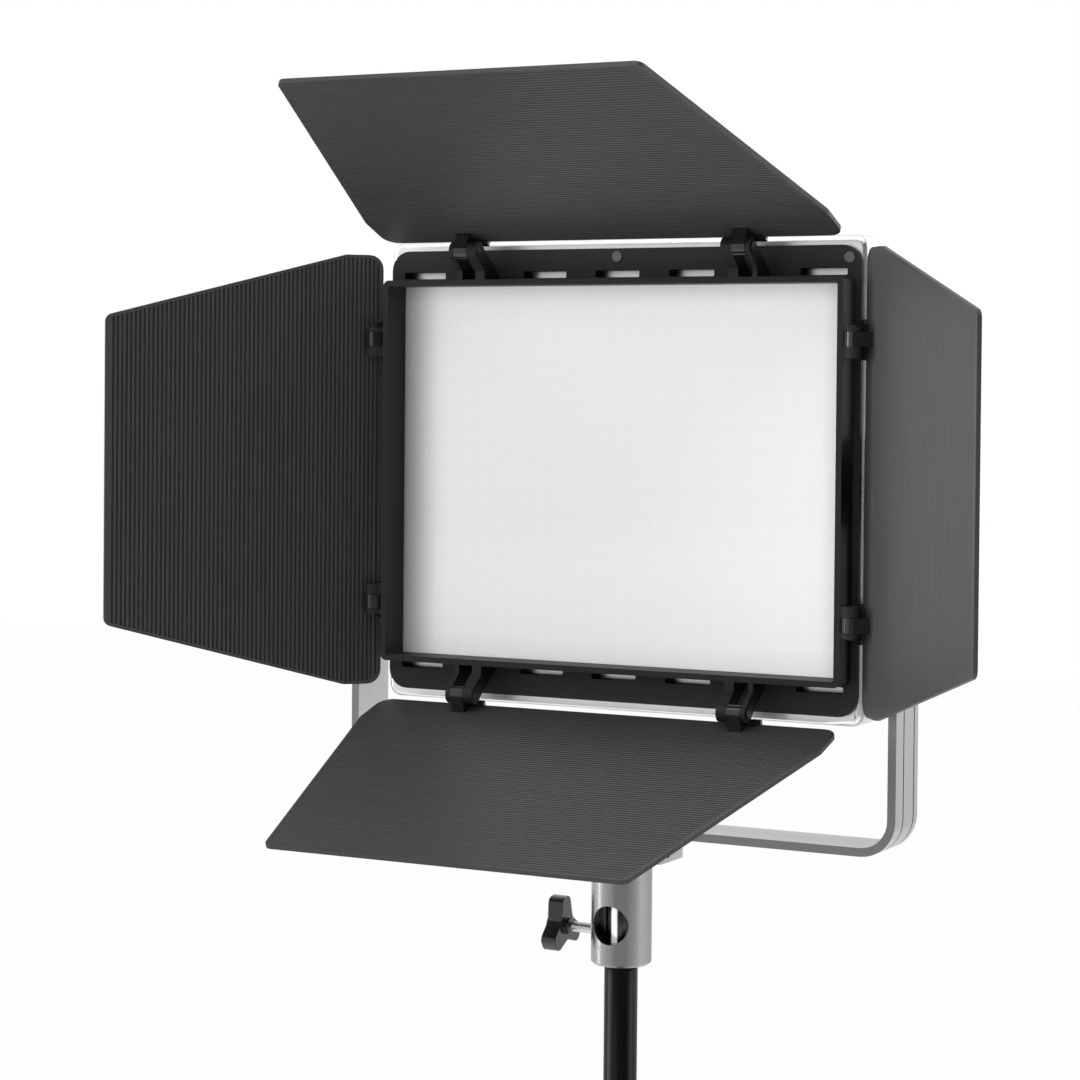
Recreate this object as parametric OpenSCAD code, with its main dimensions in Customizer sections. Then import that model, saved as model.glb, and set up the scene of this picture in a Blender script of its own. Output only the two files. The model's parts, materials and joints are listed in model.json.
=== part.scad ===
// LED panel light: a flat rectangular lamp head with four hinged barn doors,
// carried in a U-shaped yoke on a 16 mm stand receiver.
// Origin: centre of the stand receiver's socket mouth. +Z up, the light faces -Y.

/* [Part] */
// sub-part to show, or all

/* [Mount] */
// bore of the stand socket, radius for a 16 mm spigot
socket_r = 8.1; // [8.05:0.05:8.2]
// outer radius of the stand receiver
receiver_r = 14.5; // [13:0.5:16]
// height of the tilt axis over the socket mouth
head_z = 233; // [230:1:245]
// inside width of the yoke between its arms
yoke_in = 277.8; // [277.8:0.1:280]
// thickness of the yoke bar
yoke_t = 4; // [3.5:0.5:4]
// width of the yoke bar
yoke_w = 28.4; // [26:0.2:29]

/* [Head] */
// width of the bright housing
body_w = 249.4; // [249:0.1:249.6]
// height of the bright housing
body_h = 223.6; // [222:0.2:226]
// height of the rear box
box_h = 190; // [186:1:191]
// depth of the rear box behind the flange
box_d = 17; // [16:1:18]
// number of cooling fins
fin_n = 21; // [11:1:25]

/* [Barn door frame] */
// width of the frame plate
plate_w = 246; // [245:0.5:247]
// height of the frame plate
plate_h = 214.4; // [214:0.2:216]
// width of the light opening
open_w = 233.8; // [233:0.2:234]
// height of the light opening
open_h = 179.4; // [178:0.2:180]
// how far the lip stands in front of the plate
lip_d = 14.5; // [13:0.5:15]

/* [Doors] */
// depth of the top and bottom doors
door_d_tb = 160.7; // [140:1:165]
// depth of the side doors
door_d_s = 136.5; // [110:1:137]
// spacing of the grooves on the inner face of a door
rib_pitch = 2.13; // [1.8:0.01:3]
// opening of the top door from straight ahead, degrees outward
top_open = 22.7; // [0:0.1:40]
// opening of the bottom door
bottom_open = 17; // [0:0.1:40]
// opening of the left door, seen from the front as the light's -X side
left_open = 44.7; // [0:0.1:60]
// opening of the right door
right_open = 39.9; // [0:0.1:60]

/* [Hidden] */
$fn = 48;

// depths of the head, from front to back
front_y = -11.4;                  // front face of the frame plate
lip_y = front_y - lip_d;          // front edge of the frame's lip
plate_t = 2.2;
bezel_y = front_y + plate_t;      // front face of the housing
bezel_front_t = 1.8;
diffuser_y = -6.65;               // front face of the diffuser
diffuser_t = 2;
led_board_y = 6;                  // front face of the LED board
spreader_y = 7.6;                 // front face of the heat spreader
bezel_back = 10.6;                // rear edge of the housing
flange_y = 13;                    // rear face of the rear cover's flange
driver_y = 20;                    // front face of the driver board
driver_back = 21.6;
control_back = 22;                // rear face of the control board
back_y = flange_y + box_d;        // rear face of the rear box

// frame lip
rim_t = 2.8;
rim_w = open_w + 2 * rim_t;
rim_h = open_h + 2 * rim_t;

// slots along the top and bottom of the frame
slot_z = rim_h / 2 + 2.7;
slot_x = [-104.5, -38.5, 0, 38.5, 104.5];

// mount
arm_x = yoke_in / 2;              // inner face of a yoke arm
arm_out = arm_x + yoke_t;         // outer face of a yoke arm
hub_z = 51;                       // underside of the hub block
bar_z = 63.7;                     // underside of the yoke's bottom bar
bar_top = bar_z + yoke_t;
side_x = body_w / 2;              // side face of the housing
boss_end = arm_x - 2;             // outer end of a side boss

// screw places, as [x, z] from the tilt axis
post_x = 117.1;
post_z = 101.5;
mid_post_z = 103.3;
frame_posts = [[post_x, post_z], [0, mid_post_z]];
posts = concat([for (x = [-post_x, post_x], z = [-post_z, post_z]) [x, z]],
  [for (z = [-mid_post_z, mid_post_z]) [0, z]]);
board_holes = [for (x = [-109, 0, 109], z = [-84, 84]) [x, z]];
driver_posts = [for (x = [-52, 52], z = [-26, 36]) [x, z]];
sink_holes = [for (x = [-96, 96], z = [8, 82]) [x, z]];
panel_z = -66;                    // control panel centre, under the tilt axis
panel_holes = [for (x = [-86.5, 86.5]) [x, panel_z]];

// ---- helpers -------------------------------------------------------------
function unit(v) = v / norm(v);

// points of a polygon with each corner rounded to its own radius
function rounded(points, radii, steps = 6) = [for (i = [0 : len(points) - 1])
  let (count = len(points),
       corner = points[i],
       before = unit(points[(i + count - 1) % count] - corner),
       after = unit(points[(i + 1) % count] - corner),
       half = acos(before * after) / 2,
       centre = corner + unit(before + after) * radii[i] / sin(half),
       start = corner + before * radii[i] / tan(half) - centre,
       end = corner + after * radii[i] / tan(half) - centre,
       sweep = 180 - 2 * half)
  for (k = [0 : steps])
    centre + (sin((1 - k / steps) * sweep) * start + sin(k / steps * sweep) * end) / sin(sweep)];

function rect_pts(width, height, radius, steps = 6) = rounded(
  [[-width / 2, -height / 2], [width / 2, -height / 2],
   [width / 2, height / 2], [-width / 2, height / 2]],
  [radius, radius, radius, radius], steps);

module at_head() translate([0, 0, head_z]) children();
module at_panel() at_head() translate([0, 0, panel_z]) children();
module both_sides() for (s = [0, 1]) mirror([s, 0, 0]) children();

// a flat shape in X and Z, from depth y0 to depth y1
module extrude_y(y0, y1)
  translate([0, y1, 0]) rotate([90, 0, 0]) linear_extrude(y1 - y0) children();

// a profile in Y and Z, swept from x0 to x1
module extrude_x(x0, x1)
  translate([x0, 0, 0]) rotate([90, 0, 90]) linear_extrude(x1 - x0) children();

// a plate with rounded corners, facing along Y
module plate(width, height, radius, y0, y1)
  extrude_y(y0, y1) polygon(rect_pts(width, height, radius));
module plate_at(x, z, width, height, radius, y0, y1)
  translate([x, 0, z]) plate(width, height, radius, y0, y1);

// a square-cornered block, centred on x and z
module box_at(x, z, width, height, y0, y1)
  translate([x - width / 2, y0, z - height / 2]) cube([width, y1 - y0, height]);

// round bars along Y or X
module cyl_y(x, z, radius, y0, y1)
  translate([x, y1, z]) rotate([90, 0, 0]) cylinder(r = radius, h = y1 - y0);
module cyls_y(places, radius, y0, y1)
  for (p = places) cyl_y(p[0], p[1], radius, y0, y1);
module cyl_x(x0, x1, y, z, radius)
  translate([x0, y, z]) rotate([0, 90, 0]) cylinder(r = radius, h = x1 - x0);

// a washer round the X axis
module ring_x(x0, x1, outer_r, inner_r) difference() {
  cyl_x(x0, x1, 0, 0, outer_r);
  cyl_x(x0 - 1, x1 + 1, 0, 0, inner_r);
}

// ---- mount ---------------------------------------------------------------
receiver_chamfer = 1.2;
socket_depth = 38;
lock_z = 14.8;                    // height of the lock screw
lock_back = 0.2;                  // lock pad stands back from the socket wall
lock_screw_end = -34;
hub_bolt_x = 18;
set_y = -4.5;                     // set screw axis
set_z = hub_z + 3.9;
bushing_r = 6.05;

module stand_receiver() color("silver") difference() {
  union() {
    translate([0, 0, receiver_chamfer])
      cylinder(r = receiver_r, h = hub_z - receiver_chamfer, $fn = 72);
    cylinder(r1 = receiver_r - receiver_chamfer, r2 = receiver_r, h = receiver_chamfer, $fn = 72);
  }
  translate([0, 0, -1]) cylinder(r = socket_r, h = socket_depth + 1, $fn = 72);
  // chamfered mouth
  translate([0, 0, -0.01]) cylinder(r1 = socket_r + 1, r2 = socket_r, h = 1.01, $fn = 72);
  // witness window in the front wall
  cyl_y(0, 20, 9.2, -receiver_r - 1, -6.2);
  // threaded hole of the lock screw
  cyl_x(-receiver_r - 1, -socket_r + 2, 0, lock_z, 2.6);
  // tapped hole for the centre bolt
  translate([0, 0, 41]) cylinder(r = 4, h = 11);
}

module yoke_hub() color("silver") difference() {
  translate([0, 0, hub_z]) linear_extrude(bar_z - hub_z) polygon(rect_pts(53, 28, 3.2, 5));
  translate([0, 0, hub_z - 1]) cylinder(r = 4.2, h = 20);
  for (s = [-1, 1]) translate([s * hub_bolt_x, 0, bar_z - 9]) cylinder(r = 2.5, h = 12);
  both_sides() cyl_x(21.5, 27, set_y, set_z, 2);
}

// the yoke's U seen from the front, grown outward from the inner faces
module yoke_outline(grow, corner_r) {
  polygon(rounded([
    [-arm_x - grow, bar_top - grow], [arm_x + grow, bar_top - grow],
    [arm_x + grow, head_z + 40], [-arm_x - grow, head_z + 40]],
    [corner_r, corner_r, 1, 1], 8));
}

module yoke_bracket() color("gainsboro") difference() {
  intersection() {
    extrude_y(-yoke_w / 2, yoke_w / 2) difference() {
      yoke_outline(yoke_t, 17);
      yoke_outline(0, 13);
    }
    // round heads of the arms
    extrude_x(-arm_x - 10, arm_x + 10) polygon(rounded([
      [-yoke_w / 2, bar_z - 5], [yoke_w / 2, bar_z - 5],
      [yoke_w / 2, head_z + yoke_w / 2], [-yoke_w / 2, head_z + yoke_w / 2]],
      [0.5, 0.5, yoke_w / 2 - 0.3, yoke_w / 2 - 0.3], 12));
  }
  // two long grooves down the outer face
  for (y = [-4.4, 8.9]) extrude_y(y - 0.55, y + 0.55) difference() {
    yoke_outline(yoke_t + 2, 19);
    yoke_outline(yoke_t - 0.6, 16.4);
  }
  // bushing holes
  cyl_x(-arm_x - 6, arm_x + 6, 0, head_z, bushing_r + 0.05);
  translate([0, 0, bar_z - 1]) cylinder(r = 4.3, h = 8);
  for (s = [-1, 1]) translate([s * hub_bolt_x, 0, bar_z - 1]) cylinder(r = 2.8, h = 8);
}

module yoke_bushings() color("dimgray") at_head() both_sides() difference() {
  union() {
    cyl_x(boss_end + 1.05, arm_x, 0, 0, 11);
    cyl_x(arm_x - 0.5, arm_out, 0, 0, bushing_r);
  }
  cyl_x(boss_end, arm_out + 1, 0, 0, 4.2);
}

// hex socket bolt pointing down, its head seated on the yoke's bottom bar
module cap_bolt(radius, length, head_r, head_h) difference() {
  union() {
    translate([0, 0, bar_top - length]) cylinder(r = radius, h = length + 0.5);
    translate([0, 0, bar_top]) cylinder(r = head_r, h = head_h);
  }
  translate([0, 0, bar_top + head_h * 0.45]) cylinder(r = head_r * 0.5, h = head_h, $fn = 6);
}

module hub_bolts() color("gray") for (s = [-1, 1]) translate([s * hub_bolt_x, 0, 0])
  cap_bolt(radius = 2.45, length = 12, head_r = 4.6, head_h = 3);
module centre_bolt() color("gray")
  cap_bolt(radius = 3.95, length = 26, head_r = 6.5, head_h = 6);

module hub_set_screws() color("dimgray") both_sides() difference() {
  cyl_x(21.6, 26.2, set_y, set_z, 1.95);
  translate([24.6, set_y, set_z]) rotate([0, 90, 0]) cylinder(r = 1.1, h = 3, $fn = 6);
}

// three-winged hand knob, its axis along +X from x = 0: blunt tips, hollow flanks
function wing_pts(reach, half_tip, flank) = [
  for (i = [0 : 2], q = [[-60, 0, flank], [0, half_tip, reach], [0, -half_tip, reach]])
    let (angle = i * 120 + q[0])
    [q[1] * cos(angle) - q[2] * sin(angle), q[1] * sin(angle) + q[2] * cos(angle)]];

module wing_knob(reach, half_tip, flank, thickness, turn) rotate([turn, 0, 0])
  extrude_x(0, thickness) polygon(rounded(wing_pts(reach, half_tip, flank),
    [4, 3.4, 3.4, 4, 3.4, 3.4, 4, 3.4, 3.4], 5));

module lock_pad() color("goldenrod") cyl_x(-12, -socket_r - lock_back, 0, lock_z, 2.4);
module lock_screw() color("lightgray") cyl_x(lock_screw_end, -12.05, 0, lock_z, 2.45);
module lock_knob() color("black") difference() {
  union() {
    translate([-36.6, 0, lock_z])
      wing_knob(reach = 14.4, half_tip = 4.1, flank = 6.6, thickness = 7.8, turn = 6);
    cyl_x(-28.9, -26.6, 0, lock_z, 4.3);
    cyl_x(-37.8, -36.5, 0, lock_z, 5.4);
  }
  cyl_x(lock_screw_end - 0.05, -20, 0, lock_z, 2.46);
}

// hand knob with round lobes: axis along +X from x = 0
module lobed_knob(lobes, reach, lobe_r, thickness, turn) {
  cyl_x(0, thickness, 0, 0, reach * 0.74);
  for (i = [0 : lobes - 1]) rotate([turn + i * 360 / lobes, 0, 0])
    cyl_x(0.6, thickness - 0.6, 0, reach - lobe_r, lobe_r);
}

// tilt clamp, drawn for the right (+X) arm
module tilt_washer() at_head() ring_x(arm_out + 0.1, arm_out + 1.8, 13, 4.2);
module tilt_stud() at_head() cyl_x(boss_end - 8.5, arm_out + 12, 0, 0, 3.9);
module tilt_knob() at_head() difference() {
  union() {
    translate([arm_out + 5.4, 0, 0])
      lobed_knob(lobes = 5, reach = 16.5, lobe_r = 4.4, thickness = 12, turn = 12);
    cyl_x(arm_out + 1.9, arm_out + 5.5, 0, 0, 9);
    cyl_x(arm_out + 17.3, arm_out + 19, 0, 0, 6.5);
  }
  cyl_x(arm_out, arm_out + 12.05, 0, 0, 3.91);
}

module tilt_washer_r() color("silver") tilt_washer();
module tilt_stud_r() color("lightgray") tilt_stud();
module tilt_knob_r() color("black") tilt_knob();
module tilt_washer_l() color("silver") mirror([1, 0, 0]) tilt_washer();
module tilt_stud_l() color("lightgray") mirror([1, 0, 0]) tilt_stud();
module tilt_knob_l() color("black") mirror([1, 0, 0]) tilt_knob();

// ---- lamp head -----------------------------------------------------------
bezel_wall = 2.2;
window_w = open_w + 2.6;          // opening in the housing's front
window_h = open_h + 2.6;
diffuser_w = open_w + 5.8;
diffuser_h = open_h + 4.4;
rear_box_w = 238;
box_wall = 2;
sink_z = 45;                      // heat sink centre, over the tilt axis
sink_t = 2.5;
fin_span = 180;
boss_screw_y = 0.7;
boss_screw_z = [-14, 14];

// one block at each slot of the frame
module slot_blocks(width, height, radius, y0, y1, z = slot_z)
  for (x = slot_x, s = [-1, 1]) plate_at(x, s * z, width, height, radius, y0, y1);

module front_bezel() color("gainsboro") at_head() difference() {
  union() {
    difference() {
      plate(body_w, body_h, 6, bezel_y, bezel_back);
      plate(body_w - 2 * bezel_wall, body_h - 2 * bezel_wall, 4,
        bezel_y + bezel_front_t, bezel_back + 1);
    }
    cyls_y(posts, 4.9, bezel_y + 1, bezel_back);
    // bright pockets behind the frame's slots
    slot_blocks(29, 6.2, 1, bezel_y + 1, bezel_y + 7.2, z = slot_z + 1.7);
  }
  plate(window_w, window_h, 1.5, bezel_y - 1, bezel_y + 3);
  slot_blocks(26.2, 5.9, 0.8, bezel_y - 1, bezel_y + 6);
  cyls_y(frame_posts, 1.5, bezel_y - 1, -2.5);
  cyls_y(posts, 1.5, 4.5, bezel_back + 1);
  for (z = boss_screw_z) cyl_x(-side_x - 1, side_x + 1, boss_screw_y, z, 2.1);
}

module diffuser() color("white") at_head()
  plate(diffuser_w, diffuser_h, 1, diffuser_y, diffuser_y + diffuser_t);

module diffuser_gasket() color("dimgray") at_head() difference() {
  plate(diffuser_w, diffuser_h, 1, bezel_y + bezel_front_t, diffuser_y);
  plate(window_w, window_h, 1, bezel_y + 1, diffuser_y + 1);
}

module light_box() color("white") at_head() difference() {
  plate(open_w + 5.2, diffuser_h, 1, diffuser_y + diffuser_t, led_board_y);
  plate(open_w + 2.2, open_h + 2.2, 1, diffuser_y, led_board_y + 1);
}

module led_board() color("white") at_head() difference() {
  plate(open_w + 7, open_h + 7, 1, led_board_y, spreader_y);
  cyls_y(board_holes, 1.6, 5, 9);
}

// 12 columns by 8 rows, shifted sideways from the board's centre
module led_grid(shift) at_head() for (i = [0 : 11], j = [0 : 7])
  box_at(shift + (i - 5.5) * 20, (j - 3.5) * 22.5, 3.5, 2.8, led_board_y - 0.7, led_board_y);
module leds_cool() color("lightyellow") led_grid(-3);
module leds_warm() color("orange") led_grid(3.5);

module heat_spreader() color("silver") at_head() difference() {
  plate(244, 189, 2, spreader_y, bezel_back);
  cyls_y(board_holes, 1.5, 5, 12);
  box_at(0, 42.5, 24, 5, 0, 20);
}

module rear_cover() color("dimgray") at_head() difference() {
  union() {
    plate(body_w - 2, body_h - 2, 5.5, bezel_back, flange_y);
    plate(rear_box_w, box_h, 9, 12, back_y);
  }
  // hollow of the box, leaving posts for the driver board
  difference() {
    plate(rear_box_w - 2 * box_wall, box_h - 2 * box_wall, 7, bezel_back - 1, back_y - box_wall);
    cyls_y(driver_posts, 3, driver_back, back_y);
  }
  cyls_y(driver_posts, 1.3, 20, back_y - 3);
  cyls_y(posts, 1.7, bezel_back - 1, 15);
  // window under the control panel
  plate_at(0, panel_z, 166, 36, 2, back_y - 3, back_y + 1);
  cyls_y(sink_holes, 1.5, back_y - 3, back_y + 1);
  cyls_y(panel_holes, 1.5, back_y - 3, back_y + 1);
  // vent slots in the top and bottom walls of the box
  for (x = [-90 : 15 : 90], s = [-1, 1]) box_at(x, s * (box_h / 2 - 1), 10, 4, 17, 20);
}

module heat_sink() color("gray") at_head() difference() {
  union() {
    plate_at(0, sink_z, 202, 86, 2, back_y, back_y + sink_t);
    for (i = [0 : fin_n - 1])
      box_at(-fin_span / 2 + i * fin_span / (fin_n - 1), sink_z, 1.6, 82,
        back_y + 2, back_y + 11.5);
  }
  cyls_y(sink_holes, 1.7, back_y - 1, back_y + 4);
}

// pan head screws pointing along -Y, their heads bearing on seat_y
module pan_screws(places, seat_y, length) {
  head_h = 1.7;
  for (p = places) difference() {
    union() {
      cyl_y(p[0], p[1], 1.4, seat_y - length, seat_y + 0.3);
      cyl_y(p[0], p[1], 2.7, seat_y, seat_y + head_h);
    }
    translate([p[0], seat_y + head_h + 0.01, p[1]]) rotate([90, 0, 0])
      cylinder(r = 1.15, h = 1.1, $fn = 6);
  }
}

module cover_screws() color("dimgray") at_head() {
  pan_screws(posts, flange_y, 7.5);
  pan_screws(sink_holes, back_y + sink_t, 4.4);
  pan_screws(panel_holes, back_y + panel_t, 3.9);
}

module driver_board() color("darkgreen") at_head() difference() {
  plate_at(0, 5, 124, 80, 2, driver_y, driver_back);
  cyls_y(driver_posts, 1.4, 18, 23);
}

// parts on the front face of the driver board
module driver_parts() color("dimgray") at_head() {
  cyls_y([[-36, 24], [-22, 24], [-36, 8]], 5, 12.4, driver_y);
  for (x = [14, 36]) difference() {
    cyl_y(x, 20, 8, 13, driver_y);
    cyl_y(x, 20, 3.4, 12, 19);
  }
  // blocks: x, z, width, height
  for (p = [[-8, -14, 14, 14], [20, -12, 10, 8], [38, -12, 10, 8], [-36, -16, 16, 9]])
    box_at(p[0], p[1], p[2], p[3], driver_y - 1.8, driver_y);
}

// profile in y and z, running from the control board up to the driver board
module ribbon_cable() color("gray") at_head() extrude_x(-6, 6) polygon([
  [22, -54], [22, -55], [25.6, -55], [25.6, -21.6], [22.6, -21.6],
  [22.6, -20.6], [21.6, -20.6], [21.6, -22.6], [24.6, -22.6], [24.6, -54]]);

module side_bosses() color("black") at_head() both_sides() difference() {
  union() {
    extrude_x(side_x, side_x + 4.6) translate([boss_screw_y, 0]) polygon(rect_pts(18.6, 42, 3));
    cyl_x(side_x + 2, boss_end, 0, 0, 8.5);
  }
  cyl_x(boss_end - 10.5, boss_end + 1, 0, 0, 4.1);
  for (z = boss_screw_z) cyl_x(side_x - 1, side_x + 5, boss_screw_y, z, 1.6);
}

// screws from inside the housing, heads against its side walls
module boss_screws() color("gray") at_head() both_sides() for (z = boss_screw_z) union() {
  cyl_x(side_x - 4.4, side_x - bezel_wall, boss_screw_y, z, 3.2);
  cyl_x(side_x - 2.7, side_x + 4, boss_screw_y, z, 1.55);
}

module friction_washers() color("black") at_head() both_sides()
  ring_x(boss_end, boss_end + 1, 11, 4.2);

// ---- control panel -------------------------------------------------------
// places are measured from the panel's centre
panel_t = 2;
dimmer_x = 4;
colour_x = 32;
button_x = -20;
button_z = 8;
display_x = -56;
switch_x = 56;
dc_x = 75;
rocker_y = back_y + 0.5;          // depth of the rocker's pivot

module control_board() color("darkgreen") at_panel()
  plate_at(-10, 0, 116, 32, 1, 20.4, control_back);

module control_parts() color("dimgray") at_panel() {
  // rotary encoders
  for (x = [dimmer_x, colour_x]) difference() {
    box_at(x, 0, 14, 14, control_back, back_y);
    cyl_y(x, 0, 3.08, 24, back_y + 1);
  }
  // key switches
  for (z = [-button_z, button_z]) box_at(button_x, z, 8, 8, control_back, control_back + 4.9);
}

module control_panel() color("black") at_panel() difference() {
  plate_at(0, 0, 182, 46, 4, back_y, back_y + panel_t);
  box_at(display_x, 0, 46, 20, back_y - 1, back_y + 4);
  for (x = [dimmer_x, colour_x]) cyl_y(x, 0, 3.4, back_y - 1, back_y + 3);
  for (z = [-button_z, button_z]) cyl_y(button_x, z, 3.6, back_y - 1, back_y + 3);
  box_at(switch_x, 0, 14, 21, back_y - 1, back_y + 4);
  cyl_y(dc_x, 0, 5.6, back_y - 1, back_y + 3);
  for (p = panel_holes) cyl_y(p[0], 0, 1.7, back_y - 1, back_y + 3);
}

module display_window() color("slategray") at_panel() union() {
  box_at(display_x, 0, 45.8, 19.8, back_y + 0.2, back_y + 2.1);
  // flange inside, ending a hair short of the panel
  box_at(display_x, 0, 50, 24, back_y - 1.6, back_y - 0.0001);
  box_at(display_x, 0, 44, 18, back_y - 0.5, back_y + 0.5);
}

module switch_housing() color("black") at_panel() difference() {
  union() {
    box_at(switch_x, 0, 13.8, 20.8, 22.5, back_y + 2.5);
    box_at(switch_x, 0, 17, 24, back_y + panel_t, back_y + 3.2);
  }
  box_at(switch_x, 0, 10.8, 18, 24.5, 44.5);
  // pivot sockets of the rocker
  cyl_x(switch_x - 6.1, switch_x + 6.1, rocker_y, 0, 1.25);
}

module power_rocker() color([0.15, 0.15, 0.15]) at_panel() union() {
  translate([0, rocker_y, 0]) rotate([7, 0, 0]) extrude_x(switch_x - 5.1, switch_x + 5.1)
    polygon([[0.6, -8.2], [3.6, -8.2], [2.3, 0], [3.6, 8.2], [0.6, 8.2], [-2, 2.4], [-2, -2.4]]);
  cyl_x(switch_x - 6, switch_x + 6, rocker_y, 0, 1.2);
}

module dc_socket() color("black") at_panel() difference() {
  union() {
    cyl_y(dc_x, 0, 5.5, 18, back_y + 2.2);
    cyl_y(dc_x, 0, 7.2, back_y + panel_t, back_y + 3.2);
  }
  // bore, leaving the centre pin
  difference() {
    cyl_y(dc_x, 0, 3.2, 21, back_y + 4);
    cyl_y(dc_x, 0, 1, 20, back_y + 2.4);
  }
}

module rotary(x) at_panel() translate([x, 0, 0]) difference() {
  union() {
    cyl_y(0, 0, 3, 26, back_y + 4);
    cyl_y(0, 0, 10, back_y + 2.6, back_y + 13);
    cyl_y(0, 0, 8.8, back_y + 12.9, back_y + 14);
  }
  // grip flutes and a pointer groove
  for (i = [0 : 19]) rotate([0, i * 18, 0]) cyl_y(0, 10.5, 1, back_y + 4, back_y + 13.5);
  box_at(0, 5, 1, 6, back_y + 13.4, back_y + 15.4);
}
module dimmer_knob() color("black") rotary(dimmer_x);
module colour_knob() color("black") rotary(colour_x);

module button(z) at_panel() union() {
  cyl_y(button_x, z, 3.4, back_y - 1, back_y + 3.6);
  cyl_y(button_x, z, 4.3, back_y - 1.8, back_y - 0.6);
}
module mode_button() color("gray") button(button_z);
module menu_button() color("gray") button(-button_z);

// ---- barn door frame -----------------------------------------------------
// tb: top and bottom, drawn as the top; side: left and right, also drawn as a top
// axis_z is a hinge axis' distance from the light's centre line, axis_y its depth
tb_axis_z = 106;
tb_axis_y = front_y - 19.6;
side_axis_z = 124.66;
side_axis_y = front_y - 12.85;
tb_knuckle_x = 72;                // knuckle places along a hinge line
side_knuckle_x = 64;
knuckle_r = 4.4;
ear_in = 3.6;                     // gap from a knuckle's middle to each ear
ear_thin = 5.8;                   // far face of the thin outer ear
ear_wide = 8.5;                   // far face of the wide inner ear

// ear profiles in y and z
tb_ear = [
  [front_y - 0.01, rim_h / 2 - 1], [lip_y, rim_h / 2 - 1], [lip_y, rim_h / 2 + 4],
  [tb_axis_y - 3.6, tb_axis_z - 2.2], [tb_axis_y - 1, tb_axis_z + 3],
  [tb_axis_y + 2.2, tb_axis_z + 3.2], [front_y + 0.5, tb_axis_z - 11],
  [front_y + 0.5, rim_h / 2 - 1]];
side_ear = [
  [side_axis_y + 6.4, rim_w / 2 - 1], [lip_y, rim_w / 2 - 1], [lip_y, rim_w / 2],
  [side_axis_y - 4, side_axis_z - 1.6], [side_axis_y - 1, side_axis_z + 3],
  [side_axis_y + 3, side_axis_z + 2.6], [side_axis_y + 6.4, rim_w / 2]];

// turns what is drawn on the top side about the light's centre
module on_side(angle) at_head() rotate([0, angle, 0]) children();

// both knuckle places on each of the sides at the given angles
module at_knuckles(angles, knuckle_x) for (angle = angles)
  on_side(angle) both_sides() translate([knuckle_x, 0, 0]) children();
module at_tb_knuckles() at_knuckles([0, 180], tb_knuckle_x) children();
module at_side_knuckles() at_knuckles([90, -90], side_knuckle_x) children();

// one fixed hinge bracket: a thin ear outside, a wide one toward the middle
module ears(profile, axis_y, axis_z) for (ear = [[ear_in, ear_thin], [-ear_wide, -ear_in]])
  union() {
    extrude_x(ear[0], ear[1]) polygon(profile);
    cyl_x(ear[0], ear[1], axis_y, axis_z, knuckle_r);
  }

module pin_bore(axis_y, axis_z) cyl_x(-12, 12, axis_y, axis_z, 1.52);

module barn_frame() color([0.13, 0.13, 0.13]) difference() {
  union() {
    at_head() difference() {
      union() {
        plate(plate_w, plate_h, 9.5, front_y, bezel_y);
        plate(rim_w, rim_h, 3, lip_y, bezel_y);
        // collars that plug into the housing's pockets
        slot_blocks(25.8, 5.5, 0.7, front_y + 0.5, bezel_y + 5.9);
      }
      plate(open_w, open_h, 0.8, lip_y - 1, bezel_y + 1);
      slot_blocks(23, 3.3, 0.6, front_y - 1, bezel_y + 7);
      cyls_y(frame_posts, 1.7, front_y - 1, bezel_y + 1);
    }
    at_tb_knuckles() ears(tb_ear, tb_axis_y, tb_axis_z);
    at_side_knuckles() ears(side_ear, side_axis_y, side_axis_z);
  }
  at_tb_knuckles() pin_bore(tb_axis_y, tb_axis_z);
  at_side_knuckles() pin_bore(side_axis_y, side_axis_z);
}

module frame_screws() color("dimgray") at_head() for (p = frame_posts) union() {
  cyl_y(p[0], p[1], 2.6, front_y - 0.6, front_y);
  cyl_y(p[0], p[1], 1.4, front_y - 0.5, -4);
}

// hinge pin with its head on the thin ear
module pin(axis_y, axis_z) union() {
  cyl_x(-ear_wide, ear_thin, axis_y, axis_z, 1.5);
  cyl_x(ear_thin, ear_thin + 0.7, axis_y, axis_z, 2.4);
}
module hinge_pins() color("lightgray") {
  at_tb_knuckles() pin(tb_axis_y, tb_axis_z);
  at_side_knuckles() pin(side_axis_y, side_axis_z);
}

// ---- barn doors ----------------------------------------------------------
// A door is drawn with its hinge axis on X, reaching along -Y, its outer face up.
door_in = 7.4;                    // hinge axis to a door's inner face
door_t = 2;
door_out = door_in + door_t;
edge = 5.6;                       // door edge behind the hinge axis
groove_d = 0.5;
clip_half_w = 9.3;
clip_low = 5.5;                   // underside of the clip's inner lip
clip_t = 1.2;
clip_back = edge + 1.24;
clip_screw_x = 6.4;               // to each side of the clip's middle
clip_screw_y = -4.4;

// outline: straight sides at the hinge edge, then tapering to the far edge
function door_pts(hinge_w, far_w, depth, straight, inset = 0) = rounded(
  [[-hinge_w / 2 + inset, edge - inset], [-hinge_w / 2 + inset, edge - straight],
   [-far_w / 2 + inset, edge - depth + inset], [far_w / 2 - inset, edge - depth + inset],
   [hinge_w / 2 - inset, edge - straight], [hinge_w / 2 - inset, edge - inset]],
  [7, 6, 4, 4, 6, 7], 5);

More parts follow.
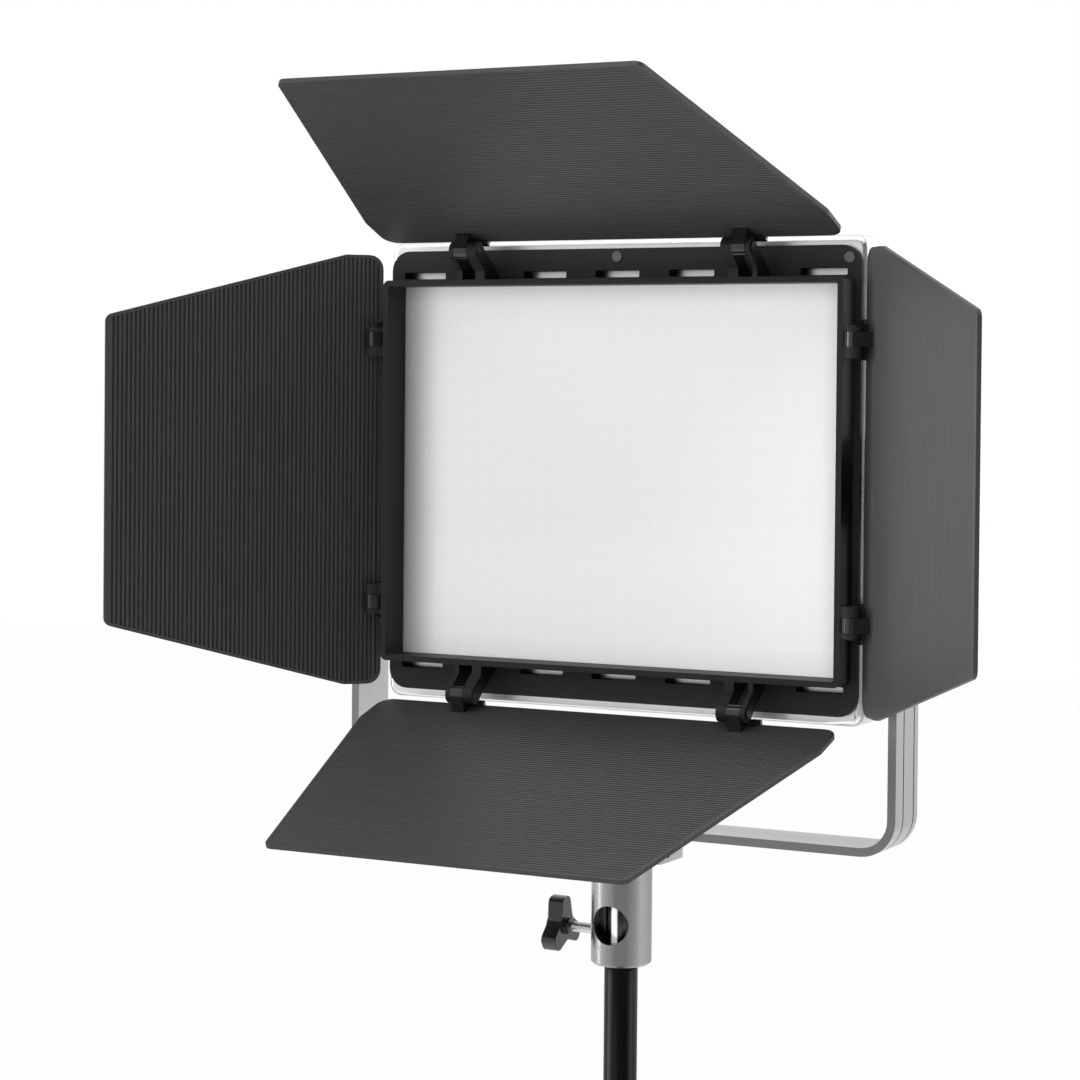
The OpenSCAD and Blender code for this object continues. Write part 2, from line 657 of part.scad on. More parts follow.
module door(hinge_w, far_w, depth, straight, knuckle_x) difference() {
  translate([0, 0, door_in]) linear_extrude(door_t)
    polygon(door_pts(hinge_w, far_w, depth, straight));
  // grooves along the inner face
  intersection() {
    translate([0, 0, door_in - 1]) linear_extrude(1.5)
      polygon(door_pts(hinge_w, far_w, depth, straight, 1.5));
    extrude_x(-hinge_w, hinge_w) polygon(concat(
      [for (i = [0 : floor((depth - 5) / rib_pitch)])
        for (q = [[0, 0], [0.3, groove_d], [0.7, groove_d], [1.0, 0]])
          [edge - 2.2 - i * rib_pitch - q[0], door_in + q[1]]],
      [[edge - depth, door_in - 0.5], [edge, door_in - 0.5]]));
  }
  // blind screw holes for the clips, from the outer face
  for (x = [-knuckle_x, knuckle_x], j = [-clip_screw_x, clip_screw_x])
    translate([x + j, clip_screw_y, door_in + 0.7]) cylinder(r = 1.25, h = 5);
}

// clip plate seen from above, its corners cut at the end away from the door edge
function clip_pts(end_y) = [
  [-clip_half_w, clip_back], [-clip_half_w, end_y + 2], [-clip_half_w + 2, end_y],
  [clip_half_w - 2, end_y], [clip_half_w, end_y + 2], [clip_half_w, clip_back]];

module clip() difference() {
  union() {
    // knuckle and leaf
    cyl_x(-3.4, 3.4, 0, 0, knuckle_r);
    extrude_x(-3.4, 3.4)
      polygon([[edge + 0.05, door_in], [4.1, 0], [-knuckle_r, 0], [-knuckle_r, door_in]]);
    // lip on the inner face
    translate([0, 0, clip_low]) linear_extrude(door_in - clip_low) polygon(clip_pts(2.6));
    // hook round the door edge
    translate([-clip_half_w, edge + 0.04, clip_low])
      cube([2 * clip_half_w, 1.2, door_out + clip_t - clip_low]);
    // plate on the outer face
    translate([0, 0, door_out]) linear_extrude(clip_t) polygon(clip_pts(-9));
  }
  cyl_x(-5, 5, 0, 0, 1.56);
  for (x = [-clip_screw_x, clip_screw_x]) translate([x, clip_screw_y, 8])
    cylinder(r = 1.35, h = 5);
}

module clip_screw() union() {
  translate([0, 0, door_in + 0.75]) cylinder(r = 1.22, h = 2.6);
  translate([0, 0, door_out + clip_t]) difference() {
    cylinder(r = 2.1, h = 1.1);
    translate([0, 0, 0.5]) cylinder(r = 1, h = 1, $fn = 6);
  }
}

module clips(knuckle_x) for (x = [-knuckle_x, knuckle_x]) translate([x, 0, 0]) clip();
module clip_screws(knuckle_x)
  for (x = [-knuckle_x, knuckle_x], j = [-clip_screw_x, clip_screw_x])
    translate([x + j, clip_screw_y, 0]) clip_screw();

module door_tb() door(hinge_w = 238, far_w = 175, depth = door_d_tb, straight = 22.8,
  knuckle_x = tb_knuckle_x);
module door_side() door(hinge_w = 210.8, far_w = 148, depth = door_d_s, straight = 18.8,
  knuckle_x = side_knuckle_x);

module place_door(angle, axis_y, axis_z, opening)
  on_side(angle) translate([0, axis_y, axis_z]) rotate([-opening, 0, 0]) children();
module at_top() place_door(0, tb_axis_y, tb_axis_z, top_open) children();
module at_bottom() place_door(180, tb_axis_y, tb_axis_z, bottom_open) children();
module at_left() place_door(-90, side_axis_y, side_axis_z, left_open) children();
module at_right() place_door(90, side_axis_y, side_axis_z, right_open) children();

door_colour = [0.2, 0.2, 0.2];
module door_panel_top() color(door_colour) at_top() door_tb();
module door_clips_top() color("black") at_top() clips(tb_knuckle_x);
module clip_screws_top() color("gray") at_top() clip_screws(tb_knuckle_x);
module door_panel_bottom() color(door_colour) at_bottom() door_tb();
module door_clips_bottom() color("black") at_bottom() clips(tb_knuckle_x);
module clip_screws_bottom() color("gray") at_bottom() clip_screws(tb_knuckle_x);
module door_panel_left() color(door_colour) at_left() door_side();
module door_clips_left() color("black") at_left() clips(side_knuckle_x);
module clip_screws_left() color("gray") at_left() clip_screws(side_knuckle_x);
module door_panel_right() color(door_colour) at_right() door_side();
module door_clips_right() color("black") at_right() clips(side_knuckle_x);
module clip_screws_right() color("gray") at_right() clip_screws(side_knuckle_x);

stand_receiver();
yoke_hub();
yoke_bracket();
yoke_bushings();
hub_bolts();
centre_bolt();
hub_set_screws();
lock_pad();
lock_screw();
lock_knob();
tilt_washer_l();
tilt_stud_l();
tilt_knob_l();
tilt_washer_r();
tilt_stud_r();
tilt_knob_r();
front_bezel();
diffuser();
diffuser_gasket();
light_box();
led_board();
leds_cool();
leds_warm();
heat_spreader();
rear_cover();
heat_sink();
cover_screws();
driver_board();
driver_parts();
control_board();
control_parts();
control_panel();
display_window();
switch_housing();
dc_socket();
ribbon_cable();
side_bosses();
boss_screws();
friction_washers();
barn_frame();
frame_screws();
hinge_pins();
door_panel_top();
door_clips_top();
clip_screws_top();
door_panel_bottom();
door_clips_bottom();
clip_screws_bottom();
door_panel_left();
door_clips_left();
clip_screws_left();
door_panel_right();
door_clips_right();
clip_screws_right();
dimmer_knob();
colour_knob();
mode_button();
menu_button();
power_rocker();
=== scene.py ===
"""An LED panel lamp with barn doors, held in a yoke on a stand.

Metres, +Z up. The lamp's front faces -Y, +X is to the right seen from the front, and the stand
runs down the Z axis.
"""
import json
import math
from collections import Counter

import bpy
import numpy as np
from mathutils import Matrix, Vector

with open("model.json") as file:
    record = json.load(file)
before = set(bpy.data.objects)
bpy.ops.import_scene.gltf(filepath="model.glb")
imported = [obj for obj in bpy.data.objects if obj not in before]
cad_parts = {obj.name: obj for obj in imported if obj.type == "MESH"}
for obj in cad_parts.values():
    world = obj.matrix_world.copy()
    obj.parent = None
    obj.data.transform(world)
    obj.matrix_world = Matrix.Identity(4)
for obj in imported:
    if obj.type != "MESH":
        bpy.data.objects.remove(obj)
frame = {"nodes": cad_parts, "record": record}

SCENE = bpy.context.scene
NODES = frame["nodes"]
MM = 0.001
TILT_Z = 0.233          # height of the tilt axis, the middle of the lamp
FRAME_FRONT_Y = -0.0114  # front face of the barn door frame plate
WHITE = (1.0, 1.0, 1.0, 1.0)


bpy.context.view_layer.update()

# ---------------------------------------------------------------- node helpers


def feed(tree, socket, value):
    """Links value to an input if it is a socket, otherwise sets it there."""
    if isinstance(value, bpy.types.NodeSocket):
        tree.links.new(value, socket)
    else:
        socket.default_value = value


def add_node(tree, kind, inputs=None, **settings):
    """Adds a node, sets its properties and feeds its inputs, given by name or index."""
    node = tree.nodes.new(kind)
    for key, value in settings.items():
        setattr(node, key, value)
    for key, value in (inputs or {}).items():
        feed(tree, node.inputs[key], value)
    return node


MATERIALS = {}


class Material:
    """A principled material built up in layers; its coordinates are the object's, in metres."""

    def __init__(self, name, base, rough, metallic=0.0, specular=0.5, coat=0.0,
                 coat_rough=0.1, anisotropic=0.0):
        self.data = bpy.data.materials.new(name)
        self.data.use_nodes = True
        self.data.diffuse_color = (*base, 1)
        self.tree = self.data.node_tree
        self.color = (*base, 1)
        self.normal = None
        self.drive("Base Color", self.color)
        self.drive("Roughness", rough)
        self.drive("Metallic", metallic)
        self.drive("Specular IOR Level", specular)
        self.drive("Coat Weight", coat)
        self.drive("Coat Roughness", coat_rough)
        self.drive("Anisotropic", anisotropic)
        self.position = self.add("ShaderNodeTexCoord").outputs["Object"]
        MATERIALS[name] = self.data

    def add(self, kind, inputs=None, **settings):
        return add_node(self.tree, kind, inputs, **settings)

    def drive(self, input_name, value):
        """Feeds an input of the principled shader."""
        feed(self.tree, self.tree.nodes["Principled BSDF"].inputs[input_name], value)

    def stretched(self, scale):
        mapping = self.add("ShaderNodeMapping", {"Scale": scale, "Vector": self.position})
        return mapping.outputs["Vector"]

    def noise(self, scale, detail, rough, stretch=None):
        vector = self.stretched(stretch) if stretch else self.position
        node = self.add("ShaderNodeTexNoise", {
            "Scale": scale, "Detail": detail, "Roughness": rough, "Vector": vector})
        return node.outputs["Fac"]

    def ramp(self, value, span, to=(0.0, 1.0)):
        """Maps value linearly from span onto to, clamped."""
        node = self.add("ShaderNodeMapRange", {
            "From Min": span[0], "From Max": span[1],
            "To Min": to[0], "To Max": to[1], "Value": value})
        return node.outputs["Result"]

    def math(self, operation, a, b=0.0):
        return self.add("ShaderNodeMath", {0: a, 1: b}, operation=operation).outputs[0]

    def dot(self, a, b):
        node = self.add("ShaderNodeVectorMath", {0: a, 1: b}, operation="DOT_PRODUCT")
        return node.outputs["Value"]

    def split(self, vector):
        """The X, Y and Z outputs of a vector."""
        return self.add("ShaderNodeSeparateXYZ", {"Vector": vector}).outputs

    def geometry(self, output):
        return self.add("ShaderNodeNewGeometry").outputs[output]

    def mix(self, kind, factor, a, b):
        """Mixes from a to b; kind is the socket type, RGBA or VECTOR."""
        node = self.add("ShaderNodeMix", {"Factor": factor}, data_type=kind)
        ends = [s for s in node.inputs if s.type == kind and s.name in ("A", "B")]
        for socket, value in zip(ends, (a, b)):
            feed(self.tree, socket, value)
        return [s for s in node.outputs if s.type == kind][0]

    def tint(self, factor, color):
        """Mixes color over the current base colour by factor."""
        self.color = self.mix("RGBA", factor, self.color, (*color, 1))
        self.drive("Base Color", self.color)

    def vary_rough(self, value, low, high):
        self.drive("Roughness", self.ramp(value, span=(0.3, 0.7), to=(low, high)))

    def bump(self, height, strength, distance):
        inputs = {"Strength": strength, "Distance": distance, "Height": height}
        if self.normal is not None:
            inputs["Normal"] = self.normal
        self.drive("Normal", self.add("ShaderNodeBump", inputs).outputs["Normal"])

    def edge(self, radius, gain):
        """0 on flat areas, rising along edges."""
        rounded = self.add("ShaderNodeBevel", {"Radius": radius}, samples=4).outputs["Normal"]
        alike = self.dot(rounded, self.geometry("Normal"))
        return self.math("MULTIPLY", self.math("SUBTRACT", 1.0, alike), gain)


def scaled(color, factor):
    return tuple(c * factor for c in color)


# ---------------------------------------------------------------- kinds of material


def metal(name, base, rough, stretch=None, fine=2600.0, anisotropic=0.0, spread=0.06, depth=0.07):
    """Bare metal: fine is the grain's scale, spread its roughness range, depth its bump."""
    m = Material(name, base, rough, metallic=1.0, anisotropic=anisotropic)
    blotches = m.noise(scale=28.0, detail=4.0, rough=0.6)
    m.tint(m.ramp(blotches, span=(0.35, 0.75), to=(0.0, 0.45)), scaled(base, 0.86))
    grain = m.noise(scale=fine, detail=2.0, rough=0.5, stretch=stretch)
    m.tint(m.ramp(grain, span=(0.35, 0.8), to=(0.0, 0.22)), scaled(base, 0.84))
    m.vary_rough(grain, low=rough - spread, high=rough + spread)
    m.bump(grain, strength=depth, distance=0.00002)
    return m


def powder(name, base, rough, grain_scale, strength, specular, wear):
    """Textured paint, rubbed grey in spots along its edges."""
    m = Material(name, base, rough, specular=specular)
    grain = m.noise(scale=grain_scale, detail=2.0, rough=0.5)
    blotches = m.noise(scale=22.0, detail=4.0, rough=0.6)
    m.tint(m.ramp(blotches, span=(0.3, 0.75), to=(0.0, 0.5)), scaled(base, 1.5))
    m.tint(m.ramp(grain, span=(0.55, 0.8), to=(0.0, 0.35)), scaled(base, 2.2))
    edge = m.edge(radius=0.0006, gain=2.2)
    spots = m.noise(scale=420.0, detail=3.0, rough=0.6)
    worn = m.math("MULTIPLY", m.ramp(edge, span=(0.25, 1.0)),
                  m.ramp(spots, span=(0.42, 0.62), to=(0.15, 1.0)))
    m.tint(m.math("MULTIPLY", worn, wear), (0.22, 0.22, 0.22))
    m.vary_rough(grain, low=rough - 0.05, high=rough + 0.08)
    m.bump(grain, strength=strength, distance=0.00006)
    return m


def plastic(name, base, rough, grain_scale, strength, specular=0.5, coat=0.0):
    """Moulded plastic or rubber with a fine bump and faint paler blotches."""
    m = Material(name, base, rough, specular=specular, coat=coat, coat_rough=0.12)
    grain = m.noise(scale=grain_scale, detail=2.0, rough=0.5)
    blotches = m.noise(scale=45.0, detail=3.0, rough=0.6)
    paler = tuple(min(1, c * 1.4 + 0.003) for c in base)
    m.tint(m.ramp(blotches, span=(0.35, 0.8), to=(0.0, 0.4)), paler)
    m.vary_rough(blotches, low=rough - 0.04, high=rough + 0.07)
    m.bump(grain, strength=strength, distance=0.00004)
    return m


def inner_normal(door):
    """The direction, of the two with the most area, that looks back at the lamp's middle."""
    areas = Counter()
    for face in door.data.polygons:
        areas[tuple(round(c, 2) for c in face.normal)] += face.area
    vertices = door.data.vertices
    to_lamp = Vector((0, 0, TILT_Z)) - sum((v.co for v in vertices), Vector()) / len(vertices)
    inner = None
    for direction, _ in sorted(areas.items(), key=lambda item: -item[1])[:2]:
        normal = Vector(direction).normalized()
        if normal.dot(to_lamp) > 0:
            inner = normal
    return inner


def darken_grooves(m, distance):
    """Darkens and dulls what lies in shade within distance."""
    open_sky = m.add("ShaderNodeAmbientOcclusion", {"Distance": distance},
                     samples=4, only_local=True).outputs["AO"]
    shade = m.ramp(open_sky, span=(0.45, 0.92), to=(1.0, 0.0))
    m.tint(shade, (0.003, 0.003, 0.003))
    m.drive("Specular IOR Level", m.math("SUBTRACT", 0.5, m.math("MULTIPLY", shade, 0.5)))


def flatten_ribs(m, plane):
    """Turns the shading normals of shallow ribs towards the sheet's own plane."""
    normal = m.geometry("Normal")
    facing = m.dot(normal, plane)
    flatness = m.ramp(facing, span=(0.25, 0.35), to=(0.0, 0.85))
    flattened = m.mix("VECTOR", flatness, normal, plane)
    # painted shade: faces that turn away from the plane, the rib walls, edges and back, are
    # tinted darker
    m.tint(m.ramp(facing, span=(0.10, 0.30), to=(0.55, 0.0)), (0.008, 0.008, 0.008))
    unit = m.add("ShaderNodeVectorMath", {0: flattened}, operation="NORMALIZE")
    m.normal = unit.outputs["Vector"]


def door_sheet(side, stretch, lift, groove=0.0, plane=None):
    """Satin black sheet with drawn lines along its ribs; lift scales its colour door by door, a
    painted light and shade.
    """
    m = Material("black_door_" + side, scaled((0.040, 0.040, 0.041), lift), 0.40)
    lines = m.noise(scale=1.0, detail=3.0, rough=0.6, stretch=stretch)
    blotches = m.noise(scale=16.0, detail=4.0, rough=0.6)
    grain = m.noise(scale=2200.0, detail=1.0, rough=0.5)
    m.tint(m.ramp(lines, span=(0.35, 0.75), to=(0.0, 0.5)), scaled((0.066, 0.066, 0.068), lift))
    m.tint(m.ramp(blotches, span=(0.35, 0.8), to=(0.0, 0.35)),
           scaled((0.052, 0.052, 0.053), lift))
    edge = m.edge(radius=0.0005, gain=2.0)
    m.tint(m.math("MULTIPLY", m.ramp(edge, span=(0.3, 1.0)), 0.22), (0.3, 0.3, 0.3))
    if groove:
        darken_grooves(m, groove)
    if plane is not None:
        flatten_ribs(m, plane)
    m.vary_rough(lines, low=0.36, high=0.50)
    m.bump(grain, strength=0.15, distance=0.00004)


# ---------------------------------------------------------------- single materials


def yoke_aluminium():
    """Brushed along the yoke; the cut edges, which face -Y and +Y, are tinted darker, a painted
    shade.
    """
    m = metal("yoke_alu", (0.64, 0.64, 0.65), rough=0.34, stretch=(14, 1, 1), fine=160.0,
              anisotropic=0.3)
    facing_y = m.math("ABSOLUTE", m.split(m.geometry("True Normal"))["Y"])
    cut = m.ramp(facing_y, span=(0.75, 0.95))
    # painted shade: the faces that look towards -Y and +Y are tinted darker
    m.tint(m.math("MULTIPLY", cut, 0.86), (0.20, 0.20, 0.205))


def tube_aluminium():
    """Turned satin tube with painted shade down its middle and on its right flank, as the camera
    sees them, and dark inside its bore.
    """
    m = metal("tube_alu", (0.52, 0.52, 0.53), rough=0.27)
    at = m.split(m.position)
    radius = m.math("SQRT", m.math("ADD", m.math("MULTIPLY", at["X"], at["X"]),
                                   m.math("MULTIPLY", at["Y"], at["Y"])))
    # across runs from -1 on the left flank to 1 on the right, as the camera sees them
    across = m.dot(m.geometry("Normal"), (0.899, 0.438, 0.0))
    # painted shade: a dark band down the middle of the tube as the camera sees it
    painted_shade_band = m.math("MULTIPLY", m.ramp(across, span=(-0.75, -0.20)),
                  m.ramp(across, span=(0.15, 0.62), to=(1.0, 0.0)))
    m.tint(m.math("MULTIPLY", painted_shade_band, 0.80), (0.20, 0.20, 0.205))
    # painted shade: the right flank, as the camera sees it, is tinted darker
    m.tint(m.ramp(across, span=(0.80, 0.98), to=(0.0, 0.45)), (0.22, 0.22, 0.225))
    m.tint(m.ramp(radius, span=(0.0125, 0.0105), to=(0.0, 0.92)), (0.03, 0.03, 0.03))


def black_sheet():
    """Painted sheet; the faces that look towards +X are tinted darker, a painted shade."""
    m = powder("black_sheet", (0.011, 0.011, 0.0115), rough=0.50, grain_scale=1500.0,
               strength=0.25, specular=0.28, wear=0.10)
    facing_x = m.split(m.geometry("True Normal"))["X"]
    # painted shade: the faces that look towards +X are tinted near black
    m.tint(m.ramp(facing_x, span=(0.75, 0.95), to=(0.0, 0.75)), (0.002, 0.002, 0.002))


def opal_diffuser():
    """Satin skin with a faint square grid of spots, a painted glow that rises from nothing at its
    left end, and a painted shadow of the rim darkening that left end.
    """
    m = Material("diffuser", (0.84, 0.84, 0.84), 0.32)
    cloud = m.noise(scale=14.0, detail=3.0, rough=0.6)
    pebble = m.noise(scale=850.0, detail=2.0, rough=0.5)
    cells = m.add("ShaderNodeTexVoronoi", {
        "Randomness": 0.0, "Scale": 1.0, "Vector": m.stretched((96.0, 1.0, 96.0))})
    m.tint(m.ramp(cloud, span=(0.35, 0.7), to=(0.0, 0.5)), (0.815, 0.815, 0.82))
    m.tint(m.ramp(cells.outputs["Distance"], span=(0.1, 0.6), to=(0.3, 0.0)), (0.87, 0.87, 0.87))
    m.vary_rough(pebble, low=0.26, high=0.36)
    m.bump(pebble, strength=0.12, distance=0.00004)
    x = m.split(m.position)["X"]
    # painted glow: the unlit panel emits light, rising from nothing at its left end
    m.drive("Emission Color", WHITE)
    m.drive("Emission Strength", m.ramp(x, span=(-0.117, -0.096), to=(0.0, 0.10)))
    # painted shadow of the rim, darkening the left end
    m.tint(m.ramp(x, span=(-0.1165, -0.0995), to=(0.72, 0.0)), (0.22, 0.22, 0.22))


metal("satin_alu", (0.93, 0.93, 0.935), rough=0.33, fine=1500.0, spread=0.02, depth=0.01)
yoke_aluminium()
metal("bead_alu", (0.60, 0.60, 0.61), rough=0.36)
tube_aluminium()
metal("steel", (0.62, 0.62, 0.63), rough=0.24, fine=1800.0)
metal("dark_steel", (0.07, 0.07, 0.075), rough=0.38, fine=1800.0)
metal("screw_grey", (0.15, 0.15, 0.155), rough=0.34, fine=1800.0)
metal("brass", (0.72, 0.50, 0.20), rough=0.30, fine=1500.0)
powder("dark_alu", (0.050, 0.051, 0.053), rough=0.46, grain_scale=1900.0, strength=0.2,
       specular=0.5, wear=0.12)
black_sheet()

# noise scales that draw the lines out along X, or along Z
LINES_ALONG_X = (18.0, 2600.0, 2600.0)
LINES_ALONG_Z = (2600.0, 2600.0, 18.0)
# each door's colour is scaled, brighter on the right door and darker on the bottom and left ones:
# painted light and shade
for side, stretch, lift in (("top", LINES_ALONG_X, 1.0), ("bottom", LINES_ALONG_X, 0.92),
                            ("right", LINES_ALONG_Z, 1.35)):
    door_sheet(side, stretch, lift, plane=inner_normal(NODES["door_panel_" + side]))
door_sheet("left", LINES_ALONG_Z, lift=0.80, groove=0.0013)

# name, colour, roughness, grain scale, bump strength, further settings
PLASTICS = [
    ("black_plastic", (0.016, 0.016, 0.017), 0.45, 1300.0, 0.2, {}),
    ("gloss_black", (0.009, 0.009, 0.010), 0.19, 500.0, 0.04, {"coat": 0.5}),
    ("grey_plastic", (0.20, 0.20, 0.205), 0.45, 1300.0, 0.15, {}),
    ("rubber", (0.020, 0.020, 0.020), 0.75, 1600.0, 0.3, {"specular": 0.25}),
    ("white_plastic", (0.82, 0.82, 0.81), 0.5, 900.0, 0.1, {}),
    ("board_white", (0.80, 0.80, 0.78), 0.35, 700.0, 0.05, {}),
    ("board_green", (0.015, 0.11, 0.045), 0.35, 700.0, 0.05, {}),
    ("led_cool", (0.82, 0.76, 0.36), 0.3, 900.0, 0.05, {}),
    ("led_warm", (0.85, 0.45, 0.10), 0.3, 900.0, 0.05, {}),
]
for name, base, rough, grain_scale, strength, further in PLASTICS:
    plastic(name, base, rough, grain_scale, strength, **further)
opal_diffuser()
plastic("display", (0.010, 0.012, 0.014), rough=0.10, grain_scale=300.0, strength=0.01)

# pieces whose material is not the one named by their slot
OWN_MATERIAL = {
    "yoke_bracket": "yoke_alu",
    "stand_receiver": "tube_alu",
    "frame_screws": "screw_grey",
}
SLOTS = {part["node"]: part["material_slot"] for part in frame["record"]["subparts"]}
for name, piece in NODES.items():
    key = SLOTS[name]
    if key == "black_door":
        key += "_" + name.rsplit("_", 1)[1]
    piece.data.materials.clear()
    piece.data.materials.append(MATERIALS[OWN_MATERIAL.get(name, key)])

# ---------------------------------------------------------------- softened edges

SMOOTH_DEGREES = 35     # edges sharper than this stay sharp in the shading
WELD_DISTANCE = 0.000004
DEFAULT_EDGE = 0.15     # mm, for pieces not in the table
WIDE_EDGE = 0.8         # mm, edges wider than this get a third segment

# width of each piece's softened edges, mm
EDGE_WIDTHS = {
    "stand_receiver": 0.5, "yoke_hub": 0.9, "yoke_bracket": 0.45, "yoke_bushings": 0.3,
    "hub_bolts": 0.3, "centre_bolt": 0.4, "hub_set_screws": 0.15, "lock_pad": 0.3,
    "lock_screw": 0.25, "lock_knob": 0.9, "tilt_knob_l": 1.4, "tilt_knob_r": 1.4,
    "tilt_stud_l": 0.3, "tilt_stud_r": 0.3, "tilt_washer_l": 0.25, "tilt_washer_r": 0.25,
    "diffuser": 0.2, "rear_cover": 0.6, "cover_screws": 0.25, "control_panel": 0.35,
    "display_window": 0.25, "switch_housing": 0.25, "dc_socket": 0.25, "side_bosses": 0.6,
    "boss_screws": 0.2, "friction_washers": 0.2, "barn_frame": 0.35, "frame_screws": 0.25,
    "hinge_pins": 0.25, "dimmer_knob": 0.35, "colour_knob": 0.35, "mode_button": 0.4,
    "menu_button": 0.4, "power_rocker": 0.4,
}

# outer outline of the bezel's front face, a rounded rectangle about the tilt axis
BEZEL_FRONT_Y = -0.0092
BEZEL_WIDTH = 0.2494
BEZEL_HEIGHT = 0.2236
BEZEL_CORNER = 0.006
BEZEL_ROUND = 0.0030    # radius worked along that outline


def smooth_by_angle_group(degrees):
    """Node group that shades smooth, and keeps edges over the angle sharp."""
    group = bpy.data.node_groups.new("smooth_by_angle_%g" % degrees, "GeometryNodeTree")
    for direction in ("INPUT", "OUTPUT"):
        group.interface.new_socket("Geometry", in_out=direction,
                                   socket_type="NodeSocketGeometry")
    source = add_node(group, "NodeGroupInput")
    result = add_node(group, "NodeGroupOutput")
    angle = add_node(group, "GeometryNodeInputMeshEdgeAngle").outputs["Unsigned Angle"]
    shallow = add_node(group, "FunctionNodeCompare", {"A": angle, "B": math.radians(degrees)},
                       data_type="FLOAT", operation="LESS_EQUAL")
    faces = add_node(group, "GeometryNodeSetShadeSmooth", {"Geometry": source.outputs[0]},
                     domain="FACE")
    edges = add_node(group, "GeometryNodeSetShadeSmooth", {
        "Geometry": faces.outputs["Geometry"],
        "Shade Smooth": shallow.outputs["Result"]}, domain="EDGE")
    feed(group, result.inputs[0], edges.outputs["Geometry"])
    return group


SMOOTH_GROUP = smooth_by_angle_group(SMOOTH_DEGREES)


def modifier(piece, name, kind, **settings):
    added = piece.modifiers.new(name, kind)
    for key, value in settings.items():
        setattr(added, key, value)


def on_bezel_outline(point):
    from_corner_x = abs(point.x) - BEZEL_WIDTH / 2 + BEZEL_CORNER
    from_corner_z = abs(point.z - TILT_Z) - BEZEL_HEIGHT / 2 + BEZEL_CORNER
    outside = math.hypot(max(from_corner_x, 0), max(from_corner_z, 0))
    inside = min(max(from_corner_x, from_corner_z), 0)
    distance = outside + inside - BEZEL_CORNER
    return abs(point.y - BEZEL_FRONT_Y) < 2e-5 and abs(distance) < 6e-5


def weight_outline(mesh, on_outline):
    """Gives full bevel weight to edges of a single face with both ends on the outline."""
    face_count = Counter(key for face in mesh.polygons for key in face.edge_keys)
    weights = mesh.attributes.new("bevel_weight_edge", "FLOAT", "EDGE")
    hit = [on_outline(v.co) for v in mesh.vertices]
    for edge in mesh.edges:
        if face_count[edge.key] == 1 and all(hit[i] for i in edge.vertices):
            weights.data[edge.index].value = 1.0


def soften(piece, width, segments=2, angle=32, dissolve=True, rounded=False):
    """Bevels the edges sharper than angle (degrees) by width (mm), and smooths the shading."""
    mesh = piece.data
    if "custom_normal" in mesh.attributes:
        mesh.attributes.remove(mesh.attributes["custom_normal"])
    modifier(piece, "weld", "WELD", merge_threshold=WELD_DISTANCE)
    if dissolve:
        modifier(piece, "flat", "DECIMATE", decimate_type="DISSOLVE",
                 angle_limit=math.radians(0.4), delimit={"NORMAL"})
    if rounded:
        weight_outline(mesh, on_bezel_outline)
        modifier(piece, "round", "BEVEL", width=BEZEL_ROUND, segments=5,
                 limit_method="WEIGHT", use_clamp_overlap=True)
    modifier(piece, "bevel", "BEVEL", width=width * MM, segments=segments,
             limit_method="ANGLE", angle_limit=math.radians(angle), use_clamp_overlap=True,
             harden_normals=False, miter_outer="MITER_ARC")
    modifier(piece, "smooth", "NODES", node_group=SMOOTH_GROUP)
    modifier(piece, "weighted", "WEIGHTED_NORMAL", keep_sharp=True, weight=50)


for name, piece in NODES.items():
    if name == "front_bezel":
        soften(piece, width=0.3, angle=40, rounded=True)
    elif name.startswith("door_panel"):
        soften(piece, width=0.28, angle=75, dissolve=False)
    elif name == "heat_sink":
        soften(piece, width=0.2, angle=60, dissolve=False)
    elif name.startswith("door_clips"):
        soften(piece, width=0.45)
    elif name.startswith("clip_screws"):
        soften(piece, width=0.2)
    else:
        width = EDGE_WIDTHS.get(name, DEFAULT_EDGE)
        soften(piece, width, segments=3 if width > WIDE_EDGE else 2)

# ---------------------------------------------------------------- floor and stand

FLOOR_Z = -0.85
FLOOR_REACH = 9         # from the middle to each side
POLE_RADIUS = 0.0080
SPIGOT_RADIUS = 0.0079
SPIGOT_TOP = 0.0365
POST_CHAMFER = 0.0006
POST_SEGMENTS = 64


def stage_mesh(name, vertices, faces, material, smooth=False):
    mesh = bpy.data.meshes.new(name)
    mesh.from_pydata(vertices, [], faces)
    mesh.update()
    made = bpy.data.objects.new(name, mesh)
    SCENE.collection.objects.link(made)
    mesh.materials.append(material.data)
    for face in mesh.polygons:
        face.use_smooth = smooth


def floor_material():
    """Pale matt floor that the camera sees as almost pure white."""
    m = Material("studio_floor", (0.92, 0.92, 0.92), 0.75, specular=0.1)
    cloud = m.noise(scale=3.0, detail=4.0, rough=0.6)
    m.tint(m.ramp(cloud, span=(0.3, 0.8), to=(0.0, 0.5)), (0.90, 0.90, 0.905))
    glow = m.add("ShaderNodeEmission", {"Color": WHITE, "Strength": 1.0})
    camera_ray = m.add("ShaderNodeLightPath").outputs["Is Camera Ray"]
    surface = m.add("ShaderNodeMixShader", {
        "Fac": m.math("MULTIPLY", camera_ray, 0.96),
        1: m.tree.nodes["Principled BSDF"].outputs["BSDF"],
        2: glow.outputs["Emission"]})
    output = m.tree.nodes["Material Output"]
    feed(m.tree, output.inputs["Surface"], surface.outputs["Shader"])
    return m


